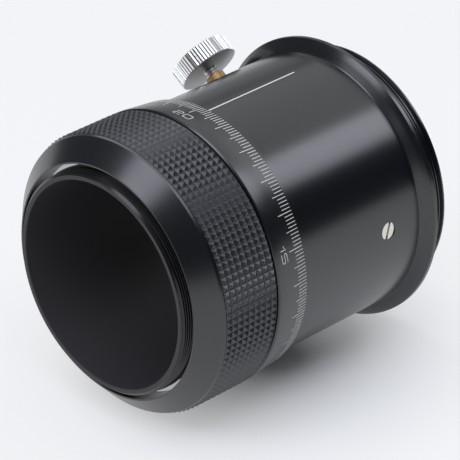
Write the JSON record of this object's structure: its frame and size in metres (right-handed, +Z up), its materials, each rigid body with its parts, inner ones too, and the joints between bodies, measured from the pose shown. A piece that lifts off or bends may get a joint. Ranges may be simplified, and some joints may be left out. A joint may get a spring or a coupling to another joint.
{
  "type": "focusing helicoid",
  "caption": "Black helical focuser: knurled ring with a graduated scale drives a non-rotating tube along a flanged, threaded barrel with a lock screw.",
  "frame": {"origin": "on the optical axis, at the rear shoulder of the flange where the rear thread begins", "axes": "+Y along the optical axis from the nose to the rear thread, +Z up through the index line, +X to the side with the visible slotted guide screw"},
  "size_m": [0.0684, 0.0753, 0.0646],
  "materials": {
    "barrel_black": "satin black anodised",
    "ring_black": "glossy black anodised",
    "grip_black": "satin black anodised, diamond knurl",
    "tube_black": "matt black anodised",
    "bare_aluminium": "bright turned, not anodised",
    "brass": "turned",
    "steel": "bright steel",
    "chrome": "bright chrome",
    "acetal": "black bearing plastic",
    "nylon": "natural nylon",
    "white_fill": "white paint fill"
  },
  "bodies": {
    "barrel": {"barrel": "barrel_black", "thread_liner": "brass", "liner_pins": "steel", "rear_flange": "barrel_black", "guide_screws": "steel", "guide_keys": "brass", "lock_bush": "brass", "index_line": "white_fill"},
    "tube": {"inner_tube": "tube_black", "front_thrust_washer": "acetal", "rear_thrust_washer": "acetal", "retaining_ring": "steel"},
    "ring": {"focus_ring": "ring_black", "grip_ring": "grip_black", "scale_ring": "ring_black", "drive_sleeve": "bare_aluminium", "sleeve_pins": "steel"},
    "lock_pad": {"lock_pad": "nylon"},
    "thumbscrew": {"thumbscrew_head": "chrome", "thumbscrew_stud": "steel"}
  },
  "joints": [
    {"name": "tube_slide", "type": "slide", "parent": "barrel", "child": "tube", "axis": [0, -1, 0], "range_m": [-0.02, 0]},
    {"name": "ring_turn", "type": "hinge", "parent": "tube", "child": "ring", "pos_m": [0, -0.055, 0], "axis": [0, 1, 0], "range_deg": [-288, 0]},
    {"name": "lock_slide", "type": "slide", "parent": "barrel", "child": "lock_pad", "axis": [0.8387, 0, -0.5446], "range_m": [-0.001, 0.00025]},
    {"name": "thumbscrew_turn", "type": "hinge", "parent": "lock_pad", "child": "thumbscrew", "pos_m": [-0.02516, -0.0088, 0.01634], "axis": [0.8387, 0, -0.5446], "range_deg": [-720, 180]}
  ],
  "couplings": [
    {"joint": "ring_turn", "follows": "tube_slide", "rad_per_m": 251.33},
    {"joint": "thumbscrew_turn", "follows": "lock_slide", "rad_per_m": 12566}
  ]
}
